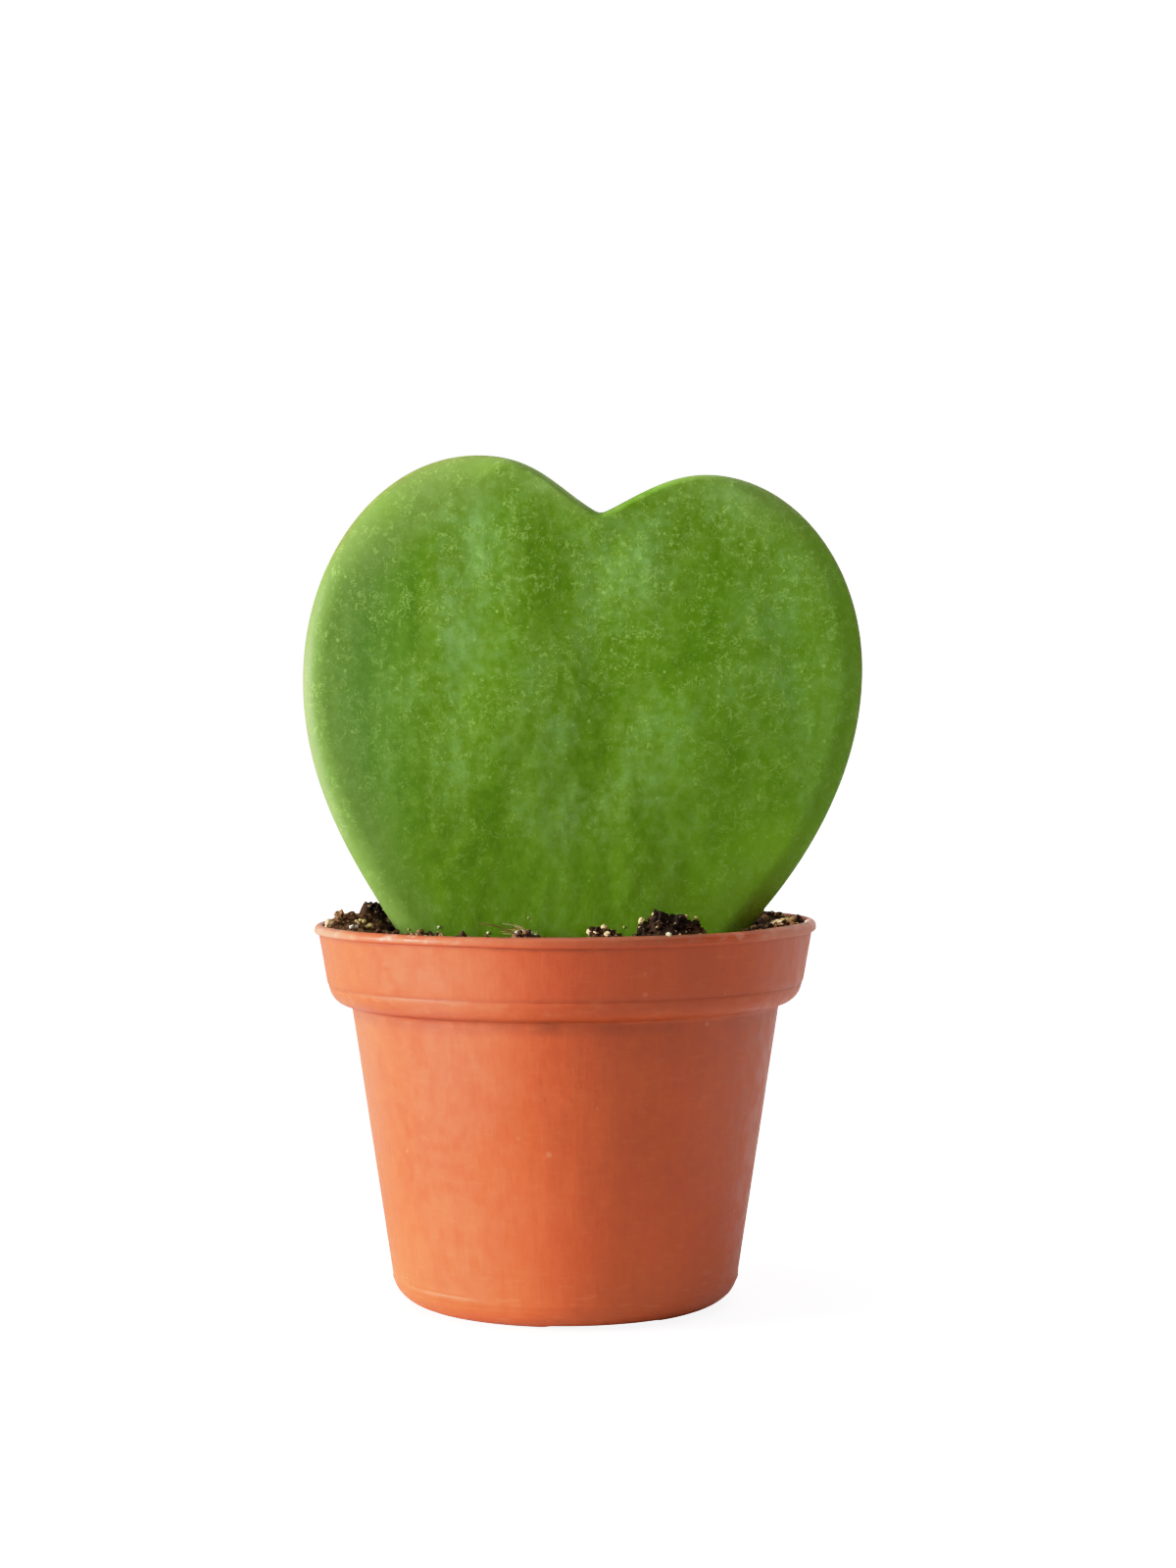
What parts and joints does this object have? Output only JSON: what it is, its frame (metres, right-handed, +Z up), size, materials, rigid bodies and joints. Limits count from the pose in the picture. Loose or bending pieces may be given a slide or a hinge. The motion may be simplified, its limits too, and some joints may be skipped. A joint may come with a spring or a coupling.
{
  "type": "potted hoya plant",
  "caption": "Thick heart-shaped hoya leaf standing upright in dark soil in a small round terracotta-coloured nursery pot.",
  "frame": {"origin": "middle of the pot's foot, on the surface that the pot stands on", "axes": "+Z up, the leaf's broad front faces -Y, and +X is to the right of someone who looks at that front"},
  "size_m": [0.0672, 0.06, 0.101],
  "materials": {
    "pot_plastic": "satin",
    "potting_soil": "matte",
    "leaf_skin": "satin"
  },
  "bodies": {
    "root": {"pot": "pot_plastic", "soil": "potting_soil", "leaf": "leaf_skin"}
  },
  "joints": []
}
